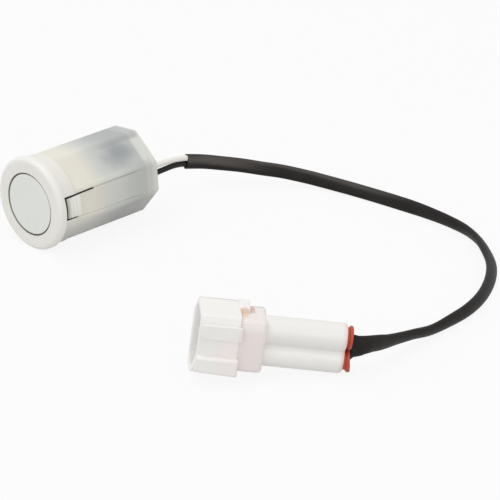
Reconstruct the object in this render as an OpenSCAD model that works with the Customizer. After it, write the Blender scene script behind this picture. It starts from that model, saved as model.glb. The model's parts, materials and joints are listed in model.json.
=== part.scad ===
// Push-in ultrasonic parking sensor with its short lead and a sealed two-way connector.
// Millimetres. The head's axis is Y, face towards -Y, and the origin is the centre of the
// flange's seat, so everything behind the bumper skin has a positive Y. +Z is up, and the
// lead and connector lie on the surface that the flange's edge rests on.

/* [Bezel] */
// Outer diameter of the flange
flange_d = 23.2; // [22.8:0.1:26]
// Thickness of the flange
flange_t = 2; // [1.6:0.1:3]
// Radius of the flange's rounded front edge
flange_round = 1.1; // [0.4:0.1:1.4]
// Diameter of the collar that goes through the bumper skin
collar_d = 22.2; // [21.6:0.1:22.6]
// Length of the collar behind the flange's seat
collar_len = 3.8; // [3:0.1:4.4]
// Wall of the collar
collar_wall = 1; // [0.8:0.1:1.1]
// Width of the ring-shaped gap around the transducer's face
face_gap = 0.4; // [0.3:0.05:0.5]

/* [Housing] */
// Length from the flange's seat to the rear rim
housing_len = 30.5; // [27:0.5:36]
// Wall at the middle of the wide flats
housing_wall = 1.3; // [1:0.1:1.4]
// Angle that each narrow flat spans
narrow_angle = 39; // [36:1:43]
// Turn of the narrow flats about the axis
housing_turn = -6; // [-12:1:6]
// Bevel around the rear rim
rear_bevel = 0.3; // [0.2:0.1:1]
// Depth that a small flat takes off each of the eight long corners
corner_cut = 0.1; // [0.05:0.05:0.2]
// Depth of the open rear above the sealing compound
potting_recess = 3; // [1.5:0.5:4]

/* [Snap arms] */
// Width of each snap arm
arm_w = 5.7; // [5:0.1:6.2]
// Distance from the seat to the arm's root
arm_root = 9.8; // [8.5:0.1:12]
// Width of the slot around each arm
arm_slot = 0.4; // [0.3:0.05:0.5]
// Thickness of each arm
arm_wall = 1.3; // [1:0.1:1.5]
// Length of the raised grip pad at the arm's tip
pad_len = 5.5; // [4.8:0.1:6]
// Number of grooves across the grip pad
groove_count = 4; // [3:1:4]
// Spacing of the grooves
groove_pitch = 1; // [0.8:0.05:1.1]

/* [Transducer] */
// Outer diameter of the aluminium cup
cup_d = 15.1; // [14:0.1:15.4]
// Length of the cup
cup_len = 9.6; // [8:0.1:11]
// Thickness of the cup's face
cup_face_t = 0.9; // [0.6:0.1:1.2]
// Wall of the cup
cup_wall = 1; // [0.7:0.1:1.2]
// Width across the flats of the cup's cavity
cavity_w = 9.4; // [9:0.1:11]
// Diameter of the piezo disc
piezo_d = 8; // [6:0.1:8.4]
// Thickness of the piezo disc
piezo_t = 0.5; // [0.3:0.05:0.8]
// Length of the damping pad
damping_len = 4; // [2:0.1:5]
// Thickness of the decoupling ring's back wall
ring_back = 1.5; // [1:0.1:2]

/* [Board] */
// Thickness of the board behind the transducer
board_t = 1; // [0.8:0.1:1.6]
// Length, width and height of the compensation capacitor
capacitor = [3.2, 2.5, 1.8]; // [1:0.1:4]

/* [Lead] */
// Diameter of each insulated wire
wire_d = 1.45; // [1.2:0.05:1.5]
// Diameter of the sleeve around both wires
sleeve_d = 3.3; // [3:0.1:3.8]

/* [Connector] */
// Width of the hood
hood_w = 10.2; // [10:0.1:12]
// Height of the hood
hood_h = 13.9; // [13.6:0.1:16]
// Length of the hood
hood_len = 9.7; // [9.2:0.1:12]
// Wall of the hood
hood_wall = 1.1; // [0.8:0.1:1.2]
// Distance that the mouth's upper edge is set back
mouth_setback = 0.9; // [0.2:0.1:1.4]
// Height of the slope that sets it back
mouth_slope_h = 3.4; // [2:0.1:5]
// Distance that the mouth's near side is set back
mouth_skew = 0.8; // [0.2:0.1:1.2]
// Width of the base behind the hood
base_w = 9.2; // [8.8:0.1:9.6]
// Height of the base behind the hood
base_h = 12.2; // [11.8:0.1:12.8]
// Length of the base
base_len = 5.8; // [5.4:0.1:7]
// Wall of the base
base_wall = 0.9; // [0.8:0.1:1.1]
// Outer diameter of each wire tube
tube_d = 6.4; // [6.2:0.1:6.6]
// Spacing of the two tubes
tube_pitch = 5.2; // [5.2:0.1:5.6]
// Length of the tubes
tube_len = 17.8; // [15:0.1:20]
// Bore of each tube at its wire seal
seal_bore = 4.6; // [4.3:0.1:4.7]
// Depth of the seal's bore
seal_depth = 5; // [4.5:0.1:6]
// Bore of each tube at its terminal
terminal_bore = 3.4; // [3.3:0.1:3.6]
// Width of each terminal's blade
blade_w = 1.8; // [1.4:0.1:2.2]
// Thickness of each terminal's blade
blade_t = 0.64; // [0.5:0.02:0.8]
// Length of blade that stands in the hood
blade_reach = 3.8; // [3:0.1:4.4]

/* [Hidden] */
$fn = 96;
// Clearance between pieces that fit closely
fit = 0.05;
// Overshoot of a cut past the face that it opens
over = 1;

// Bezel and housing
flange_r = flange_d / 2;
collar_r = collar_d / 2;
collar_in_r = collar_r - collar_wall;
spigot_r = collar_in_r - fit;
face_bore_r = cup_d / 2 + face_gap;
narrow_apothem = collar_r * cos(narrow_angle / 2);
wide_apothem = collar_r * cos(45 - narrow_angle / 2);
bore_r = wide_apothem - housing_wall;
arm_angles = [90 + housing_turn, 270 + housing_turn];
arm_in_r = narrow_apothem - arm_wall;
arm_tip = 0.9;
arm_merge = 0.5;
pad_r = collar_r - 4 * fit;
pad_slope_len = 1.4;
groove_start = arm_tip + 0.3;
groove_depth = 0.18;
groove_w = groove_pitch * 0.45;
crease_w = 0.3;
crease_depth = 0.2;
crease_end = housing_len - 5;

// Transducer and board, as distances along the axis from the seat
face_y = fit - flange_t;
cup_r = cup_d / 2;
cup_edge = 0.3;
cup_floor = face_y + cup_face_t;
cup_end = face_y + cup_len;
cavity_r = cup_r - cup_wall;
piezo_back = cup_floor + piezo_t;
ring_lip = 1;
ring_end = cup_end + ring_back;
ring_back_r = cavity_r - 0.4;
board_back = ring_end + board_t;
lead_d = 0.5;
lead_hole = lead_d + 4 * fit;
positive_x = piezo_d / 2 - lead_d - 0.8;
ground_x = piezo_d / 2 + lead_d + 0.3;
capacitor_z = 4.5;
potting_end = housing_len - potting_recess;

// Lead. Each route point is [x, distance behind the rear rim, height over the resting surface]
white_exit_z = -1.85;
black_exit_z = -4;
sides = 8;
white_free = [[0, 3, 9.75], [0.1, 7, 9.7], [0.2, 11, 9.67], [0.4, 15, 9.6], [0.6, 19.5, 9.05]];
black_free = [[0, 3, 7.6], [0.1, 7, 7.6], [0.2, 11, 7.78], [0.4, 15, 7.93], [0.6, 19.5, 7.4]];
// The sleeve's points give the height of its underside
sleeve_route = [[0.6, 19.5, 6.55], [2, 23.5, 5.65], [4.4, 27.5, 4.7], [7.4, 31.5, 3.7], [11, 35, 2.8],
    [15, 38.3, 2], [20, 41.5, 1.2], [26, 44.3, 0.5], [33, 46.5, 0.1], [40, 47.7, 0], [48, 48.4, 0],
    [56, 48.7, 0], [63, 48.5, 0], [69.5, 47.5, 0], [75.5, 45.1, 0], [81, 41.5, 0], [86, 37.3, 0],
    [90.4, 32.1, 0], [94, 26.5, 0], [97, 20.3, 0], [98.8, 13.5, 0], [99.4, 7, 0], [99.7, 0.5, 0.2],
    [99.9, -5.5, 1.1], [100.1, -11.5, 2.3], [100.3, -16, 3.4], [100.4, -19.5, 4]];
rim = [0, housing_len, -flange_r];

// Connector: its own Z runs from the mouth to the wires, Y is up and X away from the near side
connector_yaw = 48.3;
connector_pitch = 7.8;
tube_low = (tube_pitch + tube_d) / 2;
connector_at = [97.89, housing_len - 26.03, tube_low * cos(connector_pitch) - flange_r];
along = [cos(connector_pitch) * cos(connector_yaw), cos(connector_pitch) * sin(connector_yaw),
    -sin(connector_pitch)];
aside = [-sin(connector_yaw), cos(connector_yaw), 0];
upright = cross(along, aside);
hood_corner = 0.8;
hood_in_corner = 0.5;
base_back_wall = 1;
base_start = -tube_len - base_len;
mouth = base_start - hood_len;
base_floor = -tube_len - base_back_wall;
panel = [0.35, 3.5, 1.4];
rail = [0.9, 3.8, -3.1];
rail_front = 0.4;
rail_bump = 0.4;
rail_bump_len = 2.5;
lug = [4.6, 0.5, 2.5];
lug_x = 2.1;
lug_front = -0.5;
tab = [3.3, 1.1, 0.5];
tab_start = base_start + lug_front + lug.z + 2 * fit;
tube_chamfer = 0.4;
seal_r = seal_bore / 2 - fit / 2;
seal_valley = 0.35;
seal_len = seal_depth - 0.5;
seal_lip = 1.25;
seal_lip_r = tube_pitch / 2 - fit;
terminal_w = terminal_bore / sqrt(2) - 2 * fit;
blade_tip = 0.9;
barrel_len = 4;
barrel_start = -seal_depth - barrel_len - 0.4;
tail_in = 2;
tail_spread = 0.85;
tail_out = [0.4, 0.9, 4.2];

function unit(v) = v / norm(v);

// Direction of a route at point i, with the first and last directions given
function heading(path, i, first, last) =
    i == 0 ? first
    : i == len(path) - 1 ? last
    : unit(unit(path[i + 1] - path[i]) + unit(path[i] - path[i - 1]));

// One ring of points around a route, square to its direction
function ring(centre, direction, r, reference) =
    let (side = unit(cross(direction, reference)), lift = cross(side, direction))
    [for (k = [0:sides - 1]) centre + r * (cos(360 * k / sides) * side + sin(360 * k / sides) * lift)];

// Closed tube swept along a route
module tube(path, d, first, last, reference = [0, 0, 1]) {
    rings = [for (i = [0:len(path) - 1]) ring(path[i], heading(path, i, first, last), d / 2, reference)];
    skin = [for (i = [0:len(path) - 2]) for (k = [0:sides - 1])
        [i * sides + k, i * sides + (k + 1) % sides,
            (i + 1) * sides + (k + 1) % sides, (i + 1) * sides + k]];
    start_cap = [for (k = [sides - 1:-1:0]) k];
    end_cap = [for (k = [0:sides - 1]) (len(path) - 1) * sides + k];
    polyhedron([for (r = rings) for (q = r) q], concat(skin, [start_cap, end_cap]));
}

// Turns a shape built along Z so that it runs along the head's axis
module on_axis() {
    rotate([-90, 0, 0]) children();
}

// Turns a shape so that its X points square out of the flat at an angle from the top
module at_flat(angle) {
    rotate([0, 0, angle - 90]) children();
}

// Outline of the eight-sided housing, alternate flats narrow and wide, with small flats on its corners
module octagon(r) {
    intersection() {
        polygon([for (q = [0:3]) for (s = [-1, 1])
            let (a = housing_turn + 90 * q + s * narrow_angle / 2) [r * sin(a), -r * cos(a)]]);
        polygon([for (q = [0:3]) for (s = [0, 1])
            let (a = housing_turn + 90 * q + 45 * s,
                reach = (r - corner_cut) / cos(45 * s - narrow_angle / 2))
            [reach * sin(a), -reach * cos(a)]]);
    }
}

module rounded_rect(w, h, r) {
    square([w - 2 * r, h], center = true);
    square([w, h - 2 * r], center = true);
    for (x = [-1, 1]) for (y = [-1, 1]) translate([x * (w / 2 - r), y * (h / 2 - r)]) circle(r);
}

// Space that an arm and the slots around it take out of a wall
module arm_window(from, to) {
    half = arm_w / 2 + arm_slot;
    for (a = arm_angles) at_flat(a) translate([0, -half, from]) cube([2 * collar_r, 2 * half, to - from]);
}

module flange_profile() {
    land = flange_r - face_bore_r;
    translate([face_bore_r, -flange_t]) intersection() {
        square([land, flange_t]);
        union() {
            square([land - flange_round, flange_t]);
            translate([0, flange_round]) square([land, flange_t]);
            translate([land - flange_round, flange_round]) circle(flange_round);
        }
    }
}

module front_bezel() {
    color("whitesmoke") on_axis() {
        rotate_extrude() flange_profile();
        difference() {
            translate([0, 0, -over / 2]) cylinder(r = collar_r, h = collar_len + over / 2);
            translate([0, 0, -over]) cylinder(r = collar_in_r, h = collar_len + 2 * over);
            arm_window(0, collar_len + over);
        }
    }
}

module housing_shell() {
    straight = housing_len - rear_bevel;
    translate([0, 0, collar_len]) linear_extrude(straight - collar_len) octagon(collar_r);
    translate([0, 0, straight])
        linear_extrude(rear_bevel, scale = 1 - rear_bevel / collar_r) octagon(collar_r);
    translate([0, 0, fit]) cylinder(r = spigot_r, h = collar_len);
}

// Shallow lines that run on from the arm's slots towards the rear
module arm_creases() {
    for (a = arm_angles) for (s = [-1, 1]) {
        y = s * (arm_w + arm_slot) / 2 - crease_w / 2;
        at_flat(a) translate([narrow_apothem - crease_depth, y, arm_root - over])
            cube([over, crease_w, crease_end - arm_root + over]);
    }
}

module grip_grooves() {
    for (i = [0:groove_count - 1])
        translate([0, 0, groove_start + i * groove_pitch])
            difference() {
                cylinder(r = collar_r + over, h = groove_w);
                translate([0, 0, -over]) cylinder(r = pad_r - groove_depth, h = groove_w + 2 * over);
            }
}

module snap_arms() {
    reach = arm_root + arm_merge;
    difference() {
        intersection() {
            for (a = arm_angles) at_flat(a)
                translate([arm_in_r, -arm_w / 2, arm_tip]) cube([collar_r, arm_w, reach - arm_tip]);
            union() {
                linear_extrude(reach) octagon(collar_r);
                cylinder(r = pad_r, h = pad_len);
                translate([0, 0, pad_len]) cylinder(r1 = pad_r, r2 = narrow_apothem, h = pad_slope_len);
            }
        }
        grip_grooves();
    }
}

module sensor_housing() {
    color("gainsboro", 0.6) on_axis() {
        difference() {
            housing_shell();
            translate([0, 0, -over]) cylinder(r = bore_r, h = housing_len + 2 * over);
            arm_window(-over, arm_root);
            arm_creases();
        }
        snap_arms();
    }
}

// Cavity of the cup, a circle with two flats, which shapes the beam
module cavity_outline(inset) {
    intersection() {
        circle(cavity_r - inset);
        square([2 * cavity_r, cavity_w - 2 * inset], center = true);
    }
}

module transducer_cup() {
    color("lightgray") on_axis() difference() {
        translate([0, 0, face_y]) rotate_extrude() {
            square([cup_r - cup_edge, cup_len]);
            translate([0, cup_edge]) square([cup_r, cup_len - cup_edge]);
            intersection() {
                translate([cup_r - cup_edge, cup_edge]) circle(cup_edge);
                square(cup_r);
            }
        }
        translate([0, 0, cup_floor]) linear_extrude(cup_len) cavity_outline(0);
    }
}

module decoupling_ring() {
    inner = cup_r + fit;
    color("antiquewhite") on_axis() rotate_extrude() polygon([
        [inner, ring_lip - flange_t], [face_bore_r - fit, ring_lip - flange_t], [face_bore_r - fit, fit],
        [bore_r - fit, fit], [bore_r - fit, ring_end], [ring_back_r, ring_end],
        [ring_back_r, cup_end], [inner, cup_end]]);
}

module piezo_disc() {
    color("tan") on_axis() translate([0, 0, cup_floor]) cylinder(d = piezo_d, h = piezo_t);
}

module damping_pad() {
    color("dimgray") on_axis() difference() {
        translate([0, 0, piezo_back]) linear_extrude(damping_len) cavity_outline(2 * fit);
        for (x = [positive_x, -ground_x])
            translate([x, 0, piezo_back - over]) cylinder(d = lead_hole, h = damping_len + 2 * over);
    }
}

module carrier_board() {
    color("seagreen") on_axis() translate([0, 0, ring_end]) cylinder(r = bore_r - 2 * fit, h = board_t);
}

module compensation_capacitor() {
    color("saddlebrown") translate([0, board_back + capacitor.z / 2, capacitor_z])
        cube([capacitor.x, capacitor.z, capacitor.y], center = true);
}

module piezo_lead(x, from) {
    color("firebrick") on_axis() translate([x, 0, from]) cylinder(d = lead_d, h = ring_end - from);
}

module piezo_lead_positive() {
    piezo_lead(positive_x, piezo_back);
}

module piezo_lead_ground() {
    piezo_lead(-ground_x, cup_floor);
}

module rear_potting() {
    depth = potting_end - board_back;
    color("darkslategray") difference() {
        on_axis() translate([0, 0, board_back]) cylinder(r = bore_r - fit, h = depth);
        translate([0, board_back, capacitor_z])
            cube([capacitor.x + 2 * fit, 2 * (capacitor.z + fit), capacitor.y + 2 * fit], center = true);
        for (z = [white_exit_z, black_exit_z])
            translate([0, board_back - over, z]) on_axis() cylinder(d = wire_d + fit, h = depth + 2 * over);
    }
}

// A wire from the board, through the sealing compound and on to the sleeve
module wire(exit_z, free) {
    inside = [[0, board_back, exit_z], [0, potting_end, exit_z]];
    tube(concat(inside, [for (q = free) rim + q]), wire_d, [0, 1, 0], [0, 1, 0]);
}

module white_wire() {
    color("white") wire(white_exit_z, white_free);
}

module black_wire() {
    color("black") wire(black_exit_z, black_free);
}

module lead_sleeve() {
    laid = [for (q = sleeve_route) rim + q + [0, 0, sleeve_d / 2]];
    color("black") tube(concat(laid, [from_connector(tail_out)]), sleeve_d, [0, 1, 0], -along);
}

// A point of the connector's own frame, in the head's frame
function from_connector(p) = connector_at + p.x * aside + p.y * upright + p.z * along;

module in_connector() {
    translate(connector_at) rotate([90 + connector_pitch, 0, 90 + connector_yaw]) children();
}

module box_along(w, h, r, from, to) {
    translate([0, 0, from]) linear_extrude(to - from) rounded_rect(w, h, r);
}

module hood_trim() {
    for (side = [-1, 1]) {
        x = side < 0 ? -hood_w / 2 : hood_w / 2;
        translate([x, panel.z + panel.y / 2, mouth + panel.x])
            linear_extrude(hood_len - panel.x) square([2 * panel.x, panel.y], center = true);
        translate([x, rail.z - rail.y / 2, mouth + rail_front])
            linear_extrude(hood_len - rail_front) rounded_rect(2 * rail.x, rail.y, rail.x / 2);
        translate([x, rail.z - rail.y, base_start]) rotate([0, 90, 0])
            linear_extrude(2 * rail.x, center = true)
                polygon([[0, rail_bump], [0, -rail_bump], [rail_bump, -rail_bump],
                    [rail_bump_len, rail_bump]]);
    }
    translate([lug_x - lug.x / 2, 0, base_start + lug_front]) cube([lug.x, hood_h / 2 + lug.y, lug.z]);
}

// Everything in front of the mouth, which is set back along its upper edge and its near side
module before_mouth() {
    foot = hood_h / 2 - mouth_slope_h;
    rise = over * mouth_setback / mouth_slope_h;
    rotate([90, 0, 0]) linear_extrude(2 * hood_h, center = true)
        polygon([[hood_w / 2, mouth], [-hood_w, mouth + 1.5 * mouth_skew], [-hood_w, mouth - over],
            [hood_w / 2, mouth - over]]);
    rotate([0, 90, 0]) linear_extrude(2 * hood_w, center = true)
        polygon([[-mouth, foot], [-mouth - mouth_setback - rise, hood_h / 2 + over],
            [over - mouth, hood_h / 2 + over], [over - mouth, foot]]);
}

module tube_pair() {
    for (y = [-1, 1]) translate([0, y * tube_pitch / 2, -tube_len - over / 2]) {
        cylinder(d = tube_d, h = tube_len + over / 2 - tube_chamfer);
        translate([0, 0, tube_len + over / 2 - tube_chamfer])
            cylinder(d1 = tube_d, d2 = tube_d - 2 * tube_chamfer, h = tube_chamfer);
    }
}

module connector_housing() {
    color("white", 0.7) in_connector() difference() {
        union() {
            box_along(hood_w, hood_h, hood_corner, mouth, base_start);
            box_along(base_w, base_h, hood_corner, base_start - over / 2, -tube_len);
            hood_trim();
            tube_pair();
        }
        before_mouth();
        box_along(hood_w - 2 * hood_wall, hood_h - 2 * hood_wall, hood_in_corner,
            mouth - over, base_start);
        box_along(base_w - 2 * base_wall, base_h - 2 * base_wall, hood_in_corner,
            base_start - over, base_floor);
        translate([lug_x - tab.x / 2 - fit, 0, tab_start - fit])
            cube([tab.x + 2 * fit, hood_h, tab.y + 2 * fit]);
        for (y = [-1, 1]) translate([0, y * tube_pitch / 2, 0]) {
            translate([0, 0, -seal_depth]) cylinder(d = seal_bore, h = seal_depth + over);
            translate([0, 0, base_floor - over]) cylinder(d = terminal_bore, h = tube_len + over);
        }
    }
}

module blade_slots(clearance) {
    for (y = [-1, 1]) translate([0, y * tube_pitch / 2, base_floor - base_len / 2])
        cube([blade_t + 2 * clearance, blade_w + 2 * clearance, 2 * base_len], center = true);
}

module terminal_retainer() {
    w = base_w - 2 * base_wall - 2 * fit;
    h = base_h - 2 * base_wall - 2 * fit;
    color("indianred") in_connector() difference() {
        union() {
            box_along(w, h, hood_in_corner, base_start + 2 * fit, base_floor);
            translate([lug_x - tab.x / 2, 0, tab_start]) cube([tab.x, base_h / 2 + tab.z / 2, tab.y]);
        }
        blade_slots(2 * fit);
    }
}

// Blade with a narrowed tip, from the tip in the hood to the start of the tubes
module blade() {
    tip = blade_reach - base_start;
    w = blade_w / 2;
    rotate([0, 90, 0]) linear_extrude(blade_t, center = true)
        polygon([[tube_len, -w], [tip - blade_tip, -w], [tip, -w / 2], [tip, w / 2],
            [tip - blade_tip, w], [tube_len, w]]);
}

// Blade, box and crimp barrel of one terminal, with the wire's end in the barrel
module terminal(side) {
    color("goldenrod") in_connector() translate([0, side * tube_pitch / 2, 0]) difference() {
        union() {
            blade();
            translate([-terminal_w / 2, -terminal_w / 2, -tube_len - over / 2])
                cube([terminal_w, terminal_w, tube_len + over / 2 + barrel_start]);
            translate([0, 0, barrel_start]) cylinder(d = terminal_w, h = barrel_len);
        }
        translate([0, 0, -seal_depth - tail_in]) cylinder(d = wire_d + fit, h = seal_depth);
    }
}

module upper_terminal() {
    terminal(1);
}

module lower_terminal() {
    terminal(-1);
}

// Ribbed plug with a flared lip that stands out of the tube
module wire_seal(side) {
    rib = seal_len / 6;
    low = seal_r - seal_valley;
    hole = wire_d / 2 + fit / 2;
    color("orangered") in_connector() translate([0, side * tube_pitch / 2, 0]) rotate_extrude()
        polygon([[hole, -seal_len], [low, -seal_len], [seal_r, -5.5 * rib], [low, -5 * rib],
            [low, -4 * rib], [seal_r, -3.5 * rib], [low, -3 * rib], [low, -2 * rib], [seal_r, -1.5 * rib],
            [low, -rib], [low, fit], [seal_r, fit], [seal_r, seal_lip * 0.4],
            [seal_lip_r, seal_lip * 0.5], [seal_lip_r, seal_lip], [hole, seal_lip]]);
}

module upper_wire_seal() {
    wire_seal(1);
}

module lower_wire_seal() {
    wire_seal(-1);
}

// A wire from the end of the sleeve through its seal into its terminal
module wire_tail(side) {
    seat = side * tube_pitch / 2;
    start = tail_out + [0, side * tail_spread, 0];
    path = [start, start + [-0.1, side * 0.1, -0.5], [0.1, seat - side * 0.3, seal_lip + 0.7],
        [0, seat, seal_lip + 0.1], [0, seat, -seal_depth - tail_in]];
    in_connector() tube(path, wire_d, [0, 0, -1], [0, 0, -1], [1, 0, 0]);
}

module white_wire_tail() {
    color("white") wire_tail(1);
}

module black_wire_tail() {
    color("black") wire_tail(-1);
}

front_bezel();
sensor_housing();
transducer_cup();
decoupling_ring();
piezo_disc();
damping_pad();
carrier_board();
compensation_capacitor();
piezo_lead_positive();
piezo_lead_ground();
rear_potting();
white_wire();
black_wire();
lead_sleeve();
connector_housing();
terminal_retainer();
upper_terminal();
lower_terminal();
upper_wire_seal();
lower_wire_seal();
white_wire_tail();
black_wire_tail();
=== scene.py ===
import json
import math

import bmesh
import bpy
import numpy as np
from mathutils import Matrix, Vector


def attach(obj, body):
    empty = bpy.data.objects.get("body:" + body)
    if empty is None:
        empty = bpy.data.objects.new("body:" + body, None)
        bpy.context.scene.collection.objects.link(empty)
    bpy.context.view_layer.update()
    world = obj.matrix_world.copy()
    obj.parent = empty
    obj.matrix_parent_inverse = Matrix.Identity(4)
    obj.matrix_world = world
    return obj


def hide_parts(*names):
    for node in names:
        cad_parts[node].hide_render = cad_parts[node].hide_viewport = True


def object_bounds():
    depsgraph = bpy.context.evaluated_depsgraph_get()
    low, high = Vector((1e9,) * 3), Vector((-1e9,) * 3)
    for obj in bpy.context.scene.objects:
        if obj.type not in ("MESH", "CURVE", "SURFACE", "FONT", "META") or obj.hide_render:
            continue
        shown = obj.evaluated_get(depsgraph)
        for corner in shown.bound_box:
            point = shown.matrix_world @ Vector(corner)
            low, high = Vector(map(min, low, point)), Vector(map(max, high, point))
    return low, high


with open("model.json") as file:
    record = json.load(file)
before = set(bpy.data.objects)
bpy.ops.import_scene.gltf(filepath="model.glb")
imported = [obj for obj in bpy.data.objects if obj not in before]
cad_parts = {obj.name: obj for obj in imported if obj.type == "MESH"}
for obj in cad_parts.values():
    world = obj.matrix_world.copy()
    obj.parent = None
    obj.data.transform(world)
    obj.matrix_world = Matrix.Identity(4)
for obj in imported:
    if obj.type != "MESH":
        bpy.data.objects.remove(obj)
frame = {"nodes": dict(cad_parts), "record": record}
cadLow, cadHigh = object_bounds()
nodes = frame["nodes"]
mounts = {mount["name"]: mount for mount in frame["record"]["mounts"]}
mm = 0.001  # all shapes below are worked out in millimetres, in the CAD frame
fullTurn = 2 * math.pi
print("frame:", len(nodes), "CAD nodes")


def unit(v):
    return v / np.linalg.norm(v, axis=-1, keepdims=True)


# sRGB hex to linear: the curve of the sRGB standard, undone
def linear(hexText):
    srgb = np.array([int(hexText[i:i + 2], 16) for i in (0, 2, 4)]) / 255
    plain = np.where(srgb <= 0.04045, srgb / 12.92, ((srgb + 0.055) / 1.055) ** 2.4)
    return (*plain.tolist(), 1.0)


# Adds a node, sets its properties, and sets or links its inputs
def addNode(tree, kind, inputs=None, **settings):
    node = tree.nodes.new(kind)
    for name, value in settings.items():
        setattr(node, name, value)
    for key, value in (inputs or {}).items():
        if isinstance(value, bpy.types.NodeSocket):
            tree.links.new(value, node.inputs[key])
        else:
            node.inputs[key].default_value = value
    return node


# The node tree of a material or world, emptied
def emptyTree(owner):
    owner.use_nodes = True
    owner.node_tree.nodes.clear()
    return owner.node_tree


def putInScene(name, data):
    thing = bpy.data.objects.new(name, data)
    bpy.context.scene.collection.objects.link(thing)
    return thing


# Camera at the photograph's angle, in a frame of 500 by 500 pixels
camera = {"eye": (443.36, -366.66, 249.39), "azimuth": 45.275, "elevation": 24.576,
          "focalPixels": 2600, "framePixels": 500, "sensor": 36.0, "clip": (0.01, 50)}


def addCamera(c):
    data = bpy.data.cameras.new("camera")
    data.sensor_fit = "HORIZONTAL"
    data.sensor_width = c["sensor"]
    data.lens = c["focalPixels"] * c["sensor"] / c["framePixels"]
    data.clip_start, data.clip_end = c["clip"]
    eye = putInScene("camera", data)
    eye.location = [v * mm for v in c["eye"]]
    eye.rotation_euler = (math.radians(90 - c["elevation"]), 0, math.radians(c["azimuth"]))
    bpy.context.scene.camera = eye


addCamera(camera)

roughDrift = 0.06  # how far the grain moves the roughness either way


# Colour that drifts between two tones over patchMm, with a grain of grainMm that is grainDeep high
def surfaceMaterial(name, finish):
    material = bpy.data.materials.new(name)
    tree = emptyTree(material)
    place = addNode(tree, "ShaderNodeTexCoord").outputs["Object"]
    patch = addNode(tree, "ShaderNodeTexNoise",
                    {"Vector": place, "Scale": 1 / (finish["patchMm"] * mm), "Detail": 3.0})
    colour = addNode(tree, "ShaderNodeMix", {0: patch.outputs["Fac"], 6: linear(finish["dark"]),
                                             7: linear(finish["light"])}, data_type="RGBA")
    grain = addNode(tree, "ShaderNodeTexNoise",
                    {"Vector": place, "Scale": 1 / (finish["grainMm"] * mm), "Detail": 2.0})
    rough = addNode(tree, "ShaderNodeMapRange",
                    {"Value": grain.outputs["Fac"], "To Min": finish["rough"] - roughDrift,
                     "To Max": finish["rough"] + roughDrift})
    bump = addNode(tree, "ShaderNodeBump", {"Height": grain.outputs["Fac"], "Strength": 0.5,
                                            "Distance": finish["grainDeep"] * mm})
    shader = addNode(tree, "ShaderNodeBsdfPrincipled",
                     {"Base Color": colour.outputs[2], "Roughness": rough.outputs[0],
                      "Normal": bump.outputs[0], "Metallic": finish.get("metallic", 0.0),
                      "IOR": finish.get("ior", 1.5), "Specular IOR Level": finish.get("shine", 0.5),
                      "Subsurface Weight": finish.get("glow", 0.0), "Subsurface Scale": mm,
                      "Subsurface Radius": finish.get("glowMm", (1.0, 1.0, 1.0))})
    addNode(tree, "ShaderNodeOutputMaterial", {"Surface": shader.outputs[0]})
    return material, tree, place, colour.outputs[2], shader


# A piece's own axes in millimetres, from its place and its turns about X, Y and Z
def ownAxes(tree, place, at=(0, 0, 0), turns=(0, 0, 0)):
    local = addNode(tree, "ShaderNodeMapping",
                    {"Vector": place, "Location": tuple(v * mm for v in at), "Rotation": turns,
                     "Scale": (mm, mm, mm)}, vector_type="TEXTURE").outputs[0]
    split = addNode(tree, "ShaderNodeSeparateXYZ", {"Vector": local})
    return local, {axis: split.outputs[axis] for axis in "XYZ"}


# Lays tints over a colour: each has a hex value, a share, and smooth steps (axis, where it starts, where it
# is full), and its strength is the share times all its steps
def layTints(tree, shader, colour, axes, tints):
    for hexText, share, steps in tints:
        mask = share
        for axis, start, full in steps:
            mask = addNode(tree, "ShaderNodeMapRange",
                           {"Value": axes[axis], "From Min": start, "From Max": full, "To Max": mask},
                           interpolation_type="SMOOTHSTEP").outputs[0]
        colour = addNode(tree, "ShaderNodeMix", {0: mask, 6: colour, 7: linear(hexText)},
                         data_type="RGBA").outputs[2]
    tree.links.new(colour, shader.inputs["Base Color"])


# Material with tints laid along the frame's axes, or by how far the surface faces up or to the rear
def tintedMaterial(name, finish):
    material, tree, place, colour, shader = surfaceMaterial(name, finish)
    axes = ownAxes(tree, place)[1]
    facing = addNode(tree, "ShaderNodeSeparateXYZ", {"Vector": place.node.outputs["Normal"]})
    axes["up"], axes["rearward"] = facing.outputs["Z"], facing.outputs["Y"]
    layTints(tree, shader, colour, axes, finish["tints"])
    return material


# Smooth line through chosen values: cubics whose slope at a knot comes from its neighbours
def smoothThrough(knots, values, at):
    knots, values = np.asarray(knots, float), np.asarray(values, float)
    slope = np.gradient(values, knots, axis=0)
    i = np.clip(np.searchsorted(knots, at, side="right") - 1, 0, len(knots) - 2)
    across = (slice(None),) + (None,) * (values.ndim - 1)
    span = (knots[i + 1] - knots[i])[across]
    u = (at - knots[i])[across] / span
    return ((2 * u**3 - 3 * u**2 + 1) * values[i] + (u**3 - 2 * u**2 + u) * span * slope[i]
            + (3 * u**2 - 2 * u**3) * values[i + 1] + (u**3 - u**2) * span * slope[i + 1])


def chordKnots(points):
    return np.concatenate([[0], np.cumsum(np.linalg.norm(np.diff(points, axis=0), axis=1))])


mergeWithin = 0.0004 * mm  # points this close become one


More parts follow.
